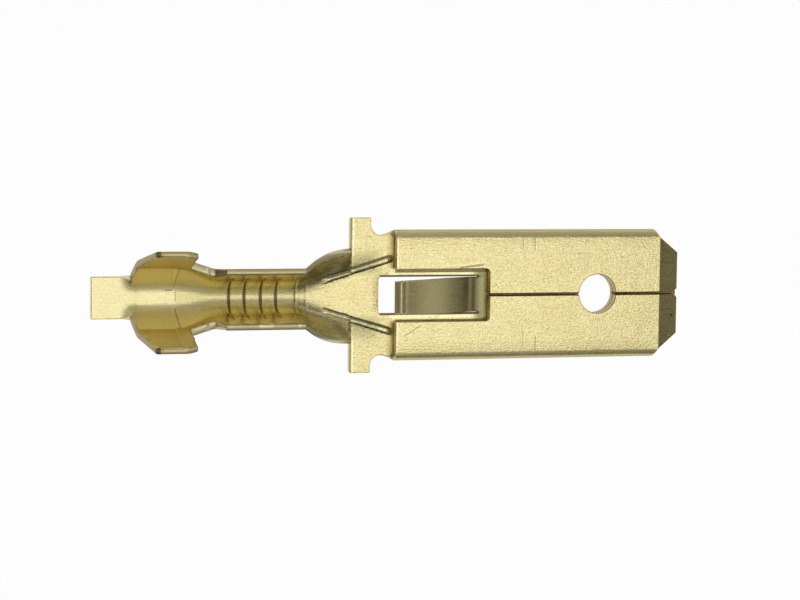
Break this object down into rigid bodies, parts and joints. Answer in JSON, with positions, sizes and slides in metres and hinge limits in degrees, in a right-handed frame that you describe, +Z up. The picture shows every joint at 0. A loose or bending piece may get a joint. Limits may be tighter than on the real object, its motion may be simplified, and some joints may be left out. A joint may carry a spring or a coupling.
{
  "type": "male blade crimp terminal",
  "caption": "Folded brass male blade terminal with a locking lance, a detent hole, stop ears and open wire and insulation crimp barrels.",
  "frame": {"origin": "middle of the terminal's length and width, on the plane that its flat underside rests on", "axes": "+X towards the blade's tip, +Y across the blade, +Z up, the way the crimp barrels open"},
  "size_m": [0.029, 0.0074, 0.0037],
  "materials": {
    "brass": "rolled satin strip with sheared edges"
  },
  "bodies": {
    "root": {"terminal": "brass"}
  },
  "joints": []
}
